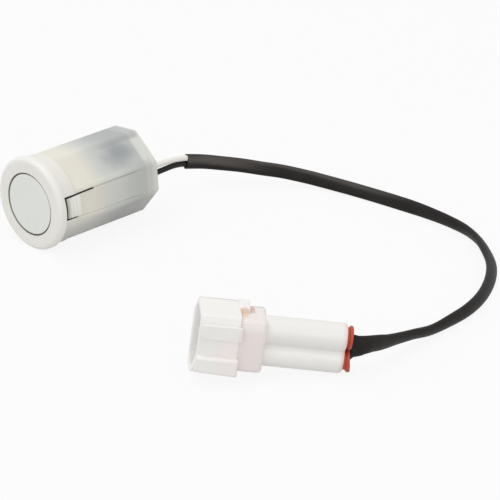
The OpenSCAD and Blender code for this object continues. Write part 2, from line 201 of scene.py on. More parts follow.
# Joins grids of points into one mesh. A grid is rows by columns by xyz, and either way may close on itself
def addPiece(name, grids, material, hides=(), sharp=35):
    points, quads, start = [], [], 0
    for grid, closeRows, closeColumns in grids:
        rows, columns = grid.shape[:2]
        index = start + np.arange(rows * columns).reshape(rows, columns)
        index = np.concatenate([index, index[:1]]) if closeRows else index
        index = np.concatenate([index, index[:, :1]], axis=1) if closeColumns else index
        corners = (index[:-1, :-1], index[1:, :-1], index[1:, 1:], index[:-1, 1:])
        quads.append(np.stack(corners, axis=-1).reshape(-1, 4))
        points.append(grid.reshape(-1, 3))
        start += rows * columns
    mesh = bpy.data.meshes.new(name)
    mesh.from_pydata(np.concatenate(points) * mm, [], np.concatenate(quads))
    form = bmesh.new()
    form.from_mesh(mesh)
    bmesh.ops.remove_doubles(form, verts=form.verts, dist=mergeWithin)
    bmesh.ops.dissolve_degenerate(form, edges=form.edges, dist=mergeWithin)
    bmesh.ops.recalc_face_normals(form, faces=form.faces)
    form.to_mesh(mesh)
    form.free()
    mesh.polygons.foreach_set("use_smooth", np.ones(len(mesh.polygons), bool))
    mesh.set_sharp_from_angle(angle=math.radians(sharp))
    mesh.materials.append(material)
    piece = putInScene(name, mesh)
    even = piece.modifiers.new("evenFlats", "WEIGHTED_NORMAL")
    even.keep_sharp = True
    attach(piece, "root")
    if hides:
        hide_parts(*hides)
    print("piece", name, len(mesh.polygons), "faces")
    return piece


# Skin around a line: at each station an ellipse, its wide axis turned from level towards the vertical
def sweep(line, heading, wide, narrow, turn, sides):
    level = unit(np.cross(heading, [0, 0, 1]))
    lift = np.cross(level, heading)
    wideAxis = np.cos(turn)[:, None] * level + np.sin(turn)[:, None] * lift
    narrowAxis = np.cross(heading, wideAxis)
    around = np.linspace(0, fullTurn, sides, endpoint=False)[None, :, None]
    return (line[:, None] + np.cos(around) * (wide[:, None] * wideAxis)[:, None]
            + np.sin(around) * (narrow[:, None] * narrowAxis)[:, None])


# Where the connector lies: its own Z runs from the mouth to the wires, Y is up, X away from the near side
connector = {"mouth": -33.3, "hoodLength": 9.7, "baseLength": 5.8, "tubePitch": 5.2}
along = -unit(np.array(mounts["connector_mouth"]["axis"]))
aside = unit(np.cross([0, 0, 1], along))
upright = np.cross(along, aside)
connectorAt = np.array(mounts["connector_mouth"]["pos_m"]) / mm - connector["mouth"] * along
tubesStart = connector["mouth"] + connector["hoodLength"] + connector["baseLength"]
baseStart = connector["mouth"] + connector["hoodLength"]
seatHeight = connector["tubePitch"] / 2


def fromConnector(points):
    return connectorAt + np.asarray(points, float) @ np.array([aside, upright, along])


# Shrink sleeve, cross-linked polyolefin: near black and satin, with a painted highlight on the side that
# faces up and forward, widest at the head end
sleeveFinish = {"light": "2E2C2B", "dark": "242221", "patchMm": 5.0, "grainMm": 0.5,
                "grainDeep": 0.03, "rough": 0.44, "shine": 0.08,
                # painted highlight: lighter where the skin faces up and forward, fading out along the sleeve
                "tints": [("55514E", 1.0, [("up", -0.15, 0.3), ("rearward", 0.15, -0.2), ("X", 15, 3)]),
                          ("4A4744", 1.0, [("up", 0.55, 0.85), ("rearward", 0.15, -0.2), ("X", 56, 30)])]}
sleeveMaterial = tintedMaterial("shrink_sleeve_polyolefin", sleeveFinish)

# PVC wire insulation, extruded: smooth, with a soft long highlight
insulation = {
    "white": surfaceMaterial("white_pvc_insulation", {
        "light": "F6F3EF", "dark": "EBE7E2", "patchMm": 3.0, "grainMm": 0.3, "grainDeep": 0.01,
        "rough": 0.38, "ior": 1.53})[0],
    "black": surfaceMaterial("black_pvc_insulation", {
        "light": "262423", "dark": "1C1B1A", "patchMm": 3.0, "grainMm": 0.3, "grainDeep": 0.01,
        "rough": 0.36, "shine": 0.2})[0]}

# The lead: route points are x, distance behind the rear rim and height of the underside over the floor
lead = {"sleeveWidth": 3.45, "sleeveThick": 2.0, "wall": 0.22, "wireWidth": 1.45, "length": 165.0,
        "rim": 30.5, "potting": 27.5, "board": 10.15, "whiteExit": -1.85, "blackExit": -4.0,
        "whiteInto": (1.35, 52.0, -3.45), "blackInto": (1.35, 52.0, -5.0),
        # where the sleeve and the wires end, on the connector's own axes
        "tailOut": (0.4, 1.0, 4.2), "sleeveEnd": ((0.25, 0.75, 2.9), (0.15, 0.65, 1.4)),
        "tailSpread": 0.85, "sealLip": 1.25, "tailEnd": -7.0,
        # stations along the sleeve where its flat section is turned from level, in degrees
        "turnAt": (0, 14, 30, 58, 70, 83, 97, 108, 120, 133, 147, 153, 160, 168),
        "turn": (98, 108, 115, 118, 86, 67, 45, 56, 75, 97, 126, 118, 104, 90),
        # the sleeve is eased open at the head and spreads over the last stretch to take in both wires
        "flareAt": (148, 154, 160, 165, 168), "flare": (0, 0.04, 0.27, 0.52, 1.0), "flareThick": 0.15,
        "headFlare": 0.2, "headFlareOver": 16, "recess": (3.0, 3.0, 0.5, 0.05), "rows": 420, "sides": 40}
rim = np.array([0, lead["rim"], cadLow[2] / mm])
sleeveRoute = np.array([
    [0.5, 18.6, 6.2], [2, 23.5, 5.15], [4.4, 27.5, 4.25], [7.4, 31.5, 3.4], [11, 35, 2.6],
    [15, 38.3, 2], [20, 41.5, 1.2], [26, 44.3, 0.5], [33, 46.5, 0.1], [40, 47.7, 0], [48, 48.4, 0],
    [56, 48.7, 0], [63, 48.5, 0], [69.5, 47.5, 0], [75.5, 45.1, 0], [81, 41.5, 0], [86, 37.3, 0],
    [90.4, 32.1, 0], [94, 26.5, 0], [97, 20.2, 0], [98.95, 13.4, 0], [99.65, 6.8, 0], [99.9, 0.4, 0.15],
    [99.9, -5.5, 1.0], [100.1, -11.5, 2.0], [100.5, -16, 2.92], [100.75, -19.5, 3.9]])
whiteFree = [[0, 3, 9.75], [0.1, 7, 9.7], [0.2, 11, 9.67], [0.4, 15, 9.5], [0.6, 18.6, 8.85]]
blackFree = [[0, 3, 7.6], [0.1, 7, 7.6], [0.2, 11, 7.78], [0.4, 15, 7.9], [0.6, 18.6, 7.3]]


# Sleeve: an oval tube on the route, open at both ends, so its rows run from the bottom of one end's
# recess out over the lip, along the outside, and into the other recess
def addSleeve(c):
    half, thin = c["sleeveWidth"] / 2, c["sleeveThick"] / 2
    laid = rim + sleeveRoute + [0, 0, half]
    laid = np.concatenate([laid, fromConnector([c["tailOut"], *c["sleeveEnd"]])])
    knots = chordKnots(laid)
    end = knots[-1]
    recess = np.array(c["recess"])
    outside = np.linspace(0, end, c["rows"])
    stations = np.concatenate([recess, outside, end - recess[::-1]])
    inner = np.concatenate([[0, 1, 1, 1], np.zeros(len(outside)), [1, 1, 1, 0]])  # 1 on the inner wall
    pole = np.ones(len(stations))
    pole[[0, -1]] = 0
    turn = np.radians(smoothThrough(c["turnAt"], c["turn"], np.minimum(stations, c["turnAt"][-1])))
    spread = smoothThrough(c["flareAt"], c["flare"], np.clip(stations, c["flareAt"][0], c["flareAt"][-1]))
    opened = c["headFlare"] * np.exp(-stations / c["headFlareOver"])
    wide = half + spread + opened - c["wall"] * inner
    narrow = thin + c["flareThick"] * spread + opened - c["wall"] * inner
    line = smoothThrough(knots, laid, stations)
    # where the sleeve lies on the floor, its turned oval settles onto it
    reach = np.hypot(half * np.sin(turn), thin * np.cos(turn))
    onFloor = np.clip(1 - (line[:, 2] - half - rim[2]), 0, 1)
    line[:, 2] -= (half - reach) * onFloor
    dense = smoothThrough(knots, laid, np.linspace(0, end, 2000))
    last = len(dense) - 1
    heading = unit(np.gradient(dense, axis=0))[np.clip((stations / end * last).astype(int), 0, last)]
    skin = sweep(line, heading, wide * pole, narrow * pole, turn, c["sides"])
    piece = addPiece("shrinkSleeve", [(skin, False, True)], sleeveMaterial, ["lead_sleeve"])
    print("sleeve line", round(float(end), 1), "mm")
    return piece, dense[::10]


# A wire: round skin on a smooth line, its ends drawn to a point inside other pieces
def addWire(name, points, colour, hides):
    points = np.asarray(points, float)
    knots = chordKnots(points)
    line = smoothThrough(knots, points, np.linspace(0, knots[-1], 90))
    heading = unit(np.gradient(line, axis=0))
    line, heading = (np.concatenate([v[:1], v, v[-1:]]) for v in (line, heading))
    radius = np.full(len(line), lead["wireWidth"] / 2)
    radius[[0, -1]] = 0
    skin = sweep(line, heading, radius, radius, np.zeros(len(line)), 24)
    return addPiece(name, [(skin, False, True)], insulation[colour], [hides])


# From the board through the compound to its level, then free, and into the sleeve
def leadWire(exitHeight, free, into):
    inside = [[0, y, exitHeight] for y in (lead["board"], lead["potting"] - 3, lead["potting"])]
    return inside + (rim + np.array(free)).tolist() + [into]


# From the sleeve's end over the seal's lip and down its bore
def tailWire(side):
    start = np.array(lead["tailOut"]) + [0, side * lead["tailSpread"], 0]
    seat, lip = side * seatHeight, lead["sealLip"]
    return fromConnector([start, start + [-0.1, side * 0.1, -0.5], [0.1, seat * 0.55, lip + 0.5],
                          [0, seat * 0.8, lip - 0.2], [0, seat, -1], [0, seat, lead["tailEnd"]]])


sleeve, sleeveLine = addSleeve(lead)
whiteWire = addWire("whiteWire", leadWire(lead["whiteExit"], whiteFree, lead["whiteInto"]),
                    "white", "white_wire")
blackWire = addWire("blackWire", leadWire(lead["blackExit"], blackFree, lead["blackInto"]),
                    "black", "black_wire")
whiteTail = addWire("whiteTail", tailWire(1), "white", "white_wire_tail")
blackTail = addWire("blackTail", tailWire(-1), "black", "black_wire_tail")
print("lead laid")


# Signed sine of the angle from an arm's middle, t / r, with t across the arm and r the radius, and r itself
def armSine(tree, axes, armTurn):
    turn = math.radians(armTurn)
    flat = addNode(tree, "ShaderNodeCombineXYZ", {"X": axes["X"], "Z": axes["Z"]}).outputs[0]
    radius = addNode(tree, "ShaderNodeVectorMath", {0: flat}, operation="LENGTH").outputs["Value"]
    across = addNode(tree, "ShaderNodeVectorMath", {0: flat, 1: (math.cos(turn), 0, -math.sin(turn))},
                     operation="DOT_PRODUCT").outputs["Value"]
    return addNode(tree, "ShaderNodeMath", {0: across, 1: radius}, operation="DIVIDE").outputs[0], radius


head = {"flangeRadius": 11.6, "flangeThick": 2.0, "flangeRound": 1.1, "backRound": 0.22, "boreRound": 0.12,
        "collarRadius": 11.1, "collarLength": 3.8, "collarWall": 1.0, "collarRound": 0.2, "innerRound": 0.15,
        "bore": 7.87, "windowTurn": (83.3, 263.3), "windowHalf": 15.0, "columns": 192}
cup = {"radius": 7.55, "setBack": 0.05, "back": 7.65, "edgeRound": 0.3, "wall": 1.0, "faceThick": 0.9,
       "columns": 128}

# Painted ABS, injection moulded: an even satin white with the faintest orange peel in its highlights; the
# thin collar takes on the housing's cream tone, with painted shade darkening it towards the bottom, and the
# walls of its windows and of the bore are painted dark as shade
bezelFinish = {"light": "EFEDE8", "dark": "E9E7E1", "patchMm": 7.0, "grainMm": 0.5, "grainDeep": 0.012,
               "rough": 0.42, "tints": [
                   ("E5E3DB", 0.8, [("Y", 0.0, 0.06)]),
                   # painted shade: the bore wall, the collar's lower part and the windows' walls are
                   # darkened
                   ("A3A19B", 1.0, [("radius", 7.95, 7.9)]),
                   ("A5A49F", 0.85, [("Y", 0.0, 0.06), ("Z", 0.0, -8.5)]),
                   ("262421", 1.0, [("Y", 0.02, 0.06), ("arm", 0.2632, 0.2625)])]}


def addBezelMaterial(f):
    material, tree, place, colour, shader = surfaceMaterial("painted_abs_satin", f)
    axes = ownAxes(tree, place)[1]
    sine, axes["radius"] = armSine(tree, axes, head["windowTurn"][0])
    axes["arm"] = addNode(tree, "ShaderNodeMath", {0: sine}, operation="ABSOLUTE").outputs[0]
    layTints(tree, shader, colour, axes, f["tints"])
    return material


bezelMaterial = addBezelMaterial(bezelFinish)

# Painted aluminium face: flat paint, a touch cooler and greyer than the bezel; painted shade down its side
faceMaterial = tintedMaterial("painted_aluminium_face", {
    "light": "E9EBE6", "dark": "E3E5E0", "patchMm": 6.0, "grainMm": 0.4, "grainDeep": 0.01, "rough": 0.5,
    "tints": [("7A7873", 1.0, [("Y", -1.82, -1.7)])]})


def evenColumns(count):
    return np.radians(np.arange(count) * 360 / count)


# Points of a profile (radius, distance along the head) turned about the head's axis
def aboutHead(radius, distance, angles):
    return np.stack([radius * np.sin(angles), distance + 0 * angles, radius * np.cos(angles)], axis=-1)


def arc(centre, radius, fromDegrees, toDegrees, steps):
    a = np.radians(np.linspace(fromDegrees, toDegrees, steps))
    return np.stack([centre[0] + radius * np.cos(a), centre[1] + radius * np.sin(a)], axis=-1)


# Even columns all round, with a close pair at each edge where a form starts or ends
def columnsWithEdges(count, edges, gap):
    edges = np.asarray(edges)
    columns = np.concatenate([np.arange(count) * 360 / count, edges - gap, edges + gap])
    return np.radians(np.unique(columns % 360))


# Degrees from the nearest arm's middle, and +1 or -1 for which of the two arms that is
def fromArm(angles, armTurns):
    away = (np.degrees(angles)[:, None] - np.array(armTurns) + 180) % 360 - 180
    nearest = np.abs(away).argmin(axis=1)
    return away[np.arange(len(angles)), nearest], 1 - 2 * nearest


# Bezel: the flange's and collar's profile turned about the axis; in the windows the collar drops to the seat
def addBezel(h):
    r, t, edge, bore = h["flangeRadius"], h["flangeThick"], h["flangeRound"], h["bore"]
    collar, length = h["collarRadius"], h["collarLength"]
    inner = collar - h["collarWall"]
    inBore, atBack, outside, inside = (h[k] for k in ("boreRound", "backRound", "collarRound", "innerRound"))
    profile = np.concatenate([
        arc((bore + inBore, -t + inBore), inBore, 180, 270, 5), arc((r - edge, -t + edge), edge, -90, 0, 14),
        arc((r - atBack, -atBack), atBack, 0, 90, 5), [[collar + 0.02, 0.0]],
        arc((collar - outside, length - outside), outside, 0, 90, 5),
        arc((inner + inside, length - inside), inside, 90, 180, 4), [[inner, 0.0], [bore, 0.0]]])
    edges = [turn + s * h["windowHalf"] for turn in h["windowTurn"] for s in (-1, 1)]
    angles = columnsWithEdges(h["columns"], edges, 0.06)
    reach = np.where(np.abs(fromArm(angles, h["windowTurn"])[0]) < h["windowHalf"], 0.0, length)
    grid = aboutHead(profile[:, :1], np.minimum(profile[:, 1:], reach[None]), angles)
    return addPiece("frontBezel", [(grid, True, True)], bezelMaterial, ["front_bezel"])


# Transducer: a turned cup, closed at the face, with a small round at the face's edge
def addFace(c):
    r, front, back, edge = c["radius"], c["setBack"] - head["flangeThick"], c["back"], c["edgeRound"]
    inner, behind = r - c["wall"], front + c["faceThick"]
    profile = np.concatenate([[[0, front], [r * 0.6, front]], arc((r - edge, front + edge), edge, -90, 0, 7),
                              [[r, back], [inner, back], [inner, behind], [0, behind]]])
    grid = aboutHead(profile[:, :1], profile[:, 1:], evenColumns(c["columns"]))
    return addPiece("transducerFace", [(grid, False, True)], faceMaterial, ["transducer_cup"])


# Frosted nylon, moulded translucent: milky grey, cream where the ring backs it on the upper part, darker
# where the compound does, and darker still with painted shade on the upper, side and lower flats towards
# the rear and on the arms near their tips; the walls of the arm slots and the tip gaps are painted dark as
# deep shade
housingFinish = {"light": "DBDCD6", "dark": "D3D4CE", "patchMm": 5.0, "grainMm": 0.35, "grainDeep": 0.02,
                 "rough": 0.5, "ior": 1.53, "glow": 0.3, "glowMm": (1.3, 1.2, 1.1),
                 "cloudTurn": 36, "cloudRadius": 10, "cloudAt": 21.5, "cloudLength": 6.5, "cloudWidth": 4.6,
                 "cloudPatch": 4, "cloudRagged": 0.7, "tints": [
                     ("E3E0D3", 1.0, [("Y", 15, 9), ("Z", -7, -2)]),
                     ("A6AAAB", 0.3, [("Y", 11, 23), ("Y", 27.6, 26.3)]),
                     # painted shade: darker on the upper, top, lower and side flats towards the rear
                     ("A6AAAB", 0.4, [("Y", 7, 19), ("Y", 27.6, 26.3), ("Z", 4.5, 6)]),
                     ("9DA1A2", 0.6, [("Y", 13, 23), ("Y", 30.4, 29.2), ("Z", 9.4, 10.0)]),
                     ("8E908D", 0.5, [("Y", 3, 22), ("Z", -2.8, -5)]),
                     ("8C8F8C", 0.24, [("Y", 17, 26), ("Y", 29.6, 28.2), ("X", 8.4, 9.6)]),
                     ("8F9497", 0.75, [("cloud", 1.45, 0.45), ("Y", 27.6, 26.3)]),
                     ("F3F3EE", 0.65, [("Y", 5.5, 4.9), ("away", 0.2575, 0.25), ("Y", 0.4, 3.2)]),
                     # painted shade on the arms near their tips
                     ("9A9688", 0.6, [("Y", 2.2, 1.0), ("away", 0.2575, 0.25)]),
                     # painted shade: the slot walls and the gaps at the arm tips dark
                     ("2E2C2A", 1.0, [("away", 0.257, 0.2575), ("away", 0.2795, 0.2785), ("Y", 9.84, 9.82),
                                      ("arm", 0.0, -0.01)]),
                     ("1E1C18", 1.0, [("away", 0.252, 0.2545), ("away", 0.2945, 0.2935), ("Y", 4.5, 3.4)]),
                     ("1E1C18", 1.0, [("away", 0.2945, 0.2935), ("Y", 1.06, 0.92)])]}

# The arms lean and narrow a little towards their tips: scale and shift in degrees, over the distance
housing = {"length": lead["rim"], "narrowFlat": 10.463, "wideFlat": 10.019, "turn": -6, "cornerSoftness": 80,
           "columns": 192, "bore": 8.72, "rimRound": 0.32, "spigot": 10.05, "front": 0.35, "armTip": 0.7,
           "tipRound": 0.28, "armRoot": 9.8, "armTurn": (84, 264), "armHalf": 15.0, "slotHalf": 17.1,
           "slotFloor": 8.95, "tipScale": 0.907, "rootScale": 1.02, "rootShift": 0.9, "leanEnd": 30,
           "leanFade": 10, "windowEnd": 4.1, "padRadius": 10.9, "padLength": 5.1, "padSlope": 0.5,
           "ribFirst": 1.0, "ribPitch": 1.02, "ribDeep": 0.13, "ribCount": 4, "creaseDeep": 0.3,
           "creaseHalf": 1.2, "creaseEnd": 26.0, "creaseFade": 3, "bodyEnd": 29.8}


def addHousingMaterial(f, h):
    material, tree, place, colour, shader = surfaceMaterial("frosted_nylon_moulded", f)
    local, axes = ownAxes(tree, place)
    # cloud: distance from a point on the upper flat, in its own length and width, with a ragged edge
    turn = math.radians(f["cloudTurn"])
    centre = (f["cloudRadius"] * math.sin(turn), f["cloudAt"], f["cloudRadius"] * math.cos(turn))
    size = (f["cloudWidth"], f["cloudLength"], f["cloudWidth"])
    spot = addNode(tree, "ShaderNodeMapping", {"Vector": local, "Location": centre, "Scale": size},
                   vector_type="TEXTURE")
    wander = addNode(tree, "ShaderNodeTexNoise",
                     {"Vector": local, "Scale": 1 / f["cloudPatch"], "Detail": 2.0})
    far = addNode(tree, "ShaderNodeVectorMath", {0: spot.outputs[0]}, operation="LENGTH")
    axes["cloud"] = addNode(tree, "ShaderNodeMath",
                            {0: wander.outputs["Fac"], 1: f["cloudRagged"], 2: far.outputs["Value"]},
                            operation="MULTIPLY_ADD").outputs[0]
    # arm: sine of the angle from its middle, with its lean and taper taken out
    alongArm = {"Value": axes["Y"], "From Min": h["armTip"], "From Max": h["armRoot"]}
    shift = addNode(tree, "ShaderNodeMapRange",
                    alongArm | {"To Max": math.sin(math.radians(h["rootShift"]))}).outputs[0]
    scale = addNode(tree, "ShaderNodeMapRange",
                    alongArm | {"To Min": h["tipScale"], "To Max": h["rootScale"]}).outputs[0]
    straight = addNode(tree, "ShaderNodeMath", {0: armSine(tree, axes, h["armTurn"][0])[0], 1: shift},
                       operation="SUBTRACT").outputs[0]
    axes["arm"] = addNode(tree, "ShaderNodeMath", {0: straight, 1: scale}, operation="DIVIDE").outputs[0]
    axes["away"] = addNode(tree, "ShaderNodeMath", {0: axes["arm"]}, operation="ABSOLUTE").outputs[0]
    layTints(tree, shader, colour, axes, f["tints"])
    return material


# Eight-sided radius: a high-power mean of the distances to the eight flats, which rounds the corners
def eightSided(angles, h):
    flats = np.radians(h["turn"] + 45 * np.arange(8))
    apothem = np.where(np.arange(8) % 2 == 0, h["narrowFlat"], h["wideFlat"])
    toFlat = np.maximum(np.cos(angles[..., None] - flats), 0) / apothem
    return (toFlat ** h["cornerSoftness"]).sum(axis=-1) ** (-1 / h["cornerSoftness"])


# Housing: radius over angle and distance, with arms, slots and creases, then the rounded rim and the bore
def addHousing(h):
    a, slotEnd, half = h["armHalf"], h["slotHalf"], h["creaseHalf"]
    crease = (a + slotEnd) / 2
    folds = [crease + half * k for k in (-1, -0.5, 0, 0.5, 1)]
    edges = [turn + s * e for turn in h["armTurn"] for s in (-1, 1) for e in [a, slotEnd] + folds]
    angles = columnsWithEdges(h["columns"], edges, 0.05)
    tip, end = h["armTip"], h["length"]
    y = np.concatenate([[h["front"], tip - 0.01], tip + np.array([0, 0.02, 0.05, 0.09, 0.14, 0.2]),
                        np.linspace(tip + 0.26, h["padLength"], 90),
                        h["padLength"] + np.array([0.12, 0.25, 0.38]),
                        np.linspace(h["padLength"] + h["padSlope"], h["armRoot"] - 0.02, 8),
                        np.linspace(h["armRoot"] + 0.02, h["creaseEnd"] - 0.02, 20),
                        np.linspace(h["creaseEnd"] + 0.02, h["bodyEnd"], 10)])[:, None]
    away, which = fromArm(angles, h["armTurn"])
    # near the arms the columns lean and close in towards the tip
    knots = [tip, h["armRoot"], h["creaseEnd"], h["bodyEnd"]]
    scale = np.interp(y, knots, [h["tipScale"], h["rootScale"], h["rootScale"], 1])
    shift = np.interp(y, knots, [0, h["rootShift"], h["rootShift"], 0])
    near = np.clip((h["leanEnd"] - np.abs(away)) / h["leanFade"], 0, 1)
    turned = angles + np.radians(near * (away * (scale - 1) + shift * which))
    flat, rimFlat = eightSided(turned, h), eightSided(angles, h)[None]
    lower, away = (away * which > 0) & (y > h["windowEnd"]), np.abs(away)[None]
    # arm: flat, or the raised pad that slopes down to it, less the ribs' valleys and the round at its tip
    slope = np.clip((y - h["padLength"]) / h["padSlope"], 0, 1)
    pad = h["padRadius"] - (h["padRadius"] - h["narrowFlat"]) * slope
    fromRib = (y - h["ribFirst"]) / h["ribPitch"]
    ribbed = (fromRib > -0.5) & (fromRib < h["ribCount"] - 0.5)
    valley = h["ribDeep"] * (0.5 + 0.5 * np.cos(fullTurn * fromRib)) ** 2 * ribbed
    fromTip = np.clip(1 - (y - tip) / h["tipRound"], 0, 1)
    nose = h["tipRound"] * (1 - np.sqrt(1 - fromTip**2))
    arm = np.where(y < tip, h["slotFloor"], np.maximum(flat, pad) - valley - nose)
    # slots: open above the arm, below it only in the window; from there on a soft crease
    groove = h["creaseDeep"] * (0.5 + 0.5 * np.cos(math.pi * np.clip((away - crease) / half, -1, 1)))
    creased = flat - groove * np.clip((h["creaseEnd"] - y) / h["creaseFade"], 0, 1)
    body = np.where(y < head["collarLength"], h["spigot"], flat)
    slotted = np.where(away < a, arm, np.where(away < slotEnd, h["slotFloor"], body))
    softer = np.where(away < a, arm - groove, creased)
    outer = np.where(y < h["armRoot"], np.where(lower, softer, slotted), creased)
    # rear rim: a quarter round, the rim's face, then rows of (distance, radius) down the bore
    edge, bore = h["rimRound"], h["bore"]
    turn = np.radians(np.linspace(0, 90, 7))[:, None]
    rimRadius = rimFlat - edge * (1 - np.cos(turn))
    rimFace = rimRadius[-1:] + (bore + 0.12 - rimRadius[-1:]) * np.array([0.5, 1.0])[:, None]
    boreRows = np.array([[end - 0.04, bore + 0.03], [end - 0.15, bore], [end - 1.5, bore], [end - 4, bore],
                         [h["front"], bore]])
    radius = np.concatenate([outer, rimRadius, rimFace, boreRows[:, 1:] + 0 * rimFlat])
    distance = np.concatenate([y, end - edge + edge * np.sin(turn), [[end], [end]], boreRows[:, :1]])
    turned = np.concatenate([turned, np.broadcast_to(angles, (len(radius) - len(turned), len(angles)))])
    grid = aboutHead(radius, distance, turned)
    return addPiece("clipHousing", [(grid, True, True)], housingMaterial,
                    ["sensor_housing"])


# Silicone sealing compound, poured: dark grey and smooth, creeping up the wall and the wires
pottingMaterial = surfaceMaterial("poured_silicone_compound", {
    "light": "3A3D3F", "dark": "2C2E30", "patchMm": 3.0, "grainMm": 0.8, "grainDeep": 0.05,
    "rough": 0.36})[0]
potting = {"radius": 8.68, "front": 10.2, "level": lead["potting"], "creep": 0.35, "creepReach": 0.5,
           "columns": 96}


# Compound: a disc whose level rises as an exponential towards the wall and towards each wire
def addPotting(p):
    angles = evenColumns(p["columns"])[None]
    # the rings close up towards the wall
    radius = p["radius"] * np.concatenate([np.arange(9) / 10, [0.87, 0.92, 0.96, 0.985, 1]])[:, None]
    x, z = radius * np.sin(angles), radius * np.cos(angles)
    level = p["level"] + p["creep"] * np.exp((radius - p["radius"]) / p["creepReach"]) + 0 * angles
    for exitHeight in (lead["whiteExit"], lead["blackExit"]):
        gap = np.maximum(np.hypot(x, z - exitHeight) - lead["wireWidth"] / 2, 0)
        level = level + p["creep"] * np.exp(-gap / p["creepReach"])
    top = np.stack([x, level, z], axis=-1)
    side = np.stack([x[-1], 0 * x[-1] + p["front"], z[-1]], axis=-1)
    bottom = np.stack([0 * x[-1], 0 * x[-1] + p["front"], 0 * z[-1]], axis=-1)
    grid = np.concatenate([top, side[None], bottom[None]])
    return addPiece("sealingCompound", [(grid, False, True)], pottingMaterial, ["rear_potting"])


housingMaterial = addHousingMaterial(housingFinish, housing)
addBezel(head)
addFace(cup)
addHousing(housing)
addPotting(potting)
print("head built")

# Natural nylon, moulded: milky and faintly warm, pink where the red retainer and seals lie behind the
# wall, peach beside the lug, where the wall is thinnest, and painted white inside the hood as light shining
# through its walls, a little less on its floor
nylonFinish = {"light": "F3F1EE", "dark": "ECEAE6", "patchMm": 5.0, "grainMm": 0.6, "grainDeep": 0.015,
               "rough": 0.34, "ior": 1.53, "peachAt": (-0.7, 6.4, -22.9), "peachSize": (1.9, 1.4, 1.25),
               "tints": [
                   ("ECE4E1", 1.0, [("Z", -24.2, -23.2), ("Z", -17.2, -18.8), ("Y", 7.0, 6.3)]),
                   ("EDE2E0", 1.0, [("Z", -24.2, -23.2), ("Z", -17.2, -18.8), ("Y", 4.4, 3.2)]),
                   ("F3ECEA", 1.0, [("Z", -30.6, -25.6), ("Z", -23.58, -23.62), ("Y", 2.2, 0.2)]),
                   ("EBE9E5", 1.0, [("Z", -17.9, -17.6), ("Y", -0.8, 0.4)]),
                   ("EBD3CD", 0.9, [("Z", -1.4, -0.1)]),
                   ("EBD3C4", 0.85, [("peach", 1.1, 0.7)]),
                   ("E3C6C3", 1.0, [("X", 0.43, 0.5), ("X", 3.77, 3.7), ("Z", -21.52, -21.4),
                                    ("Z", -20.38, -20.65), ("Y", 4.5, 5.0)]),
                   # painted light: the inside of the hood white, as if lit through its walls, a little
                   # greyer on its floor
                   ("FFFFFF", 1.0, [("X", -4.12, -4.08), ("X", 4.12, 4.08), ("Y", 5.97, 5.93),
                                    ("Y", -5.97, -5.93), ("Z", -23.5, -24.0)]),
                   ("EBE8E6", 1.0, [("X", -4.12, -4.08), ("X", 4.12, 4.08), ("Y", -5.2, -5.8),
                                    ("Y", -5.97, -5.93), ("Z", -23.5, -24.0)])]}


def addNylonMaterial(f):
    material, tree, place, colour, shader = surfaceMaterial("natural_nylon_moulded", f)
    pitch, yaw = math.asin(-along[2]), math.atan2(along[1], along[0])
    local, axes = ownAxes(tree, place, connectorAt, (math.pi / 2 + pitch, 0, math.pi / 2 + yaw))
    # peach: distance from a point beside the lug, in its own sizes
    spot = addNode(tree, "ShaderNodeMapping",
                   {"Vector": local, "Location": f["peachAt"], "Scale": f["peachSize"]},
                   vector_type="TEXTURE")
    far = addNode(tree, "ShaderNodeVectorMath", {0: spot.outputs[0]}, operation="LENGTH")
    axes["peach"] = far.outputs["Value"]
    layTints(tree, shader, colour, axes, f["tints"])
    return material


arcSteps = 9
evenShares = np.linspace(0, 1, 8)[1:-1]
# on the sides a column lies under the leaning part, where the wall turns upright
sideShares = np.array([0.083, 0.2, 0.4, 0.6, 0.8, 0.93])
sideLean = (0.1, 0.03)


# Rows of rounded rectangles (width, height, corner, distance): quarter circles at the corners and straight
# runs between them; a leaning stack draws its upper corners in, so that the sides slope under the top
def stackRows(rows, centre=(0, 0), topShares=evenShares, lean=(0, 0)):
    w, h, corner, z = (np.asarray(rows, float)[:, k:k + 1] for k in range(4))
    arcs = []
    for quarter, (sx, sy) in enumerate(((1, 1), (-1, 1), (-1, -1), (1, -1))):
        a = (quarter + np.linspace(0, 1, arcSteps)) * math.pi / 2
        drawn = w / 2 * (1 - lean[sx > 0] * (sy > 0))
        arcs.append(np.stack([sx * (drawn - corner) + corner * np.cos(a),
                              sy * (h / 2 - corner) + corner * np.sin(a)], axis=-1))
    ring = []
    for quarter, shares in enumerate((topShares, sideShares, evenShares, 1 - sideShares[::-1])):
        start, end = arcs[quarter][:, -1:], arcs[(quarter + 1) % 4][:, :1]
        run = start + (end - start) * shares[None, :, None]
        if quarter % 2:
            run[..., 0] = (quarter - 2) * w / 2
        ring += [arcs[quarter], run]
    flat = np.concatenate(ring, axis=1) + np.asarray(centre, float)
    return np.concatenate([flat, np.broadcast_to(z[:, :, None], flat.shape[:2] + (1,))], axis=-1)


shell = {"hood": (10.2, 13.9, 1.0), "hoodWall": 1.1, "base": (9.2, 12.2, 1.0), "baseWall": 0.9,
         "floor": -18.8, "rearRound": 0.95, "panel": (0.35, 3.45, 1.4), "panelAlong": (-31.9, -23.0),
         "rail": (0.9, 3.9, -2.65), "railAlong": (-32.4, -23.2), "railDrop": 0.4, "railDropOver": 2.8,
         "railFoot": 0.32, "lipBack": 0.9, "lipTop": 0.3, "lipSide": 0.6, "lipSideOver": 3.4,
         "lipFootFrom": -2.5, "lipFootOver": 4.4, "lipBow": 0.45,
         "lug": (4.6, 0.5, 2.5), "lugX": 2.1, "lugFront": -0.5, "window": (0.45, 3.75),
         "windowAlong": (-21.5, -20.4), "windowDeep": 0.3}


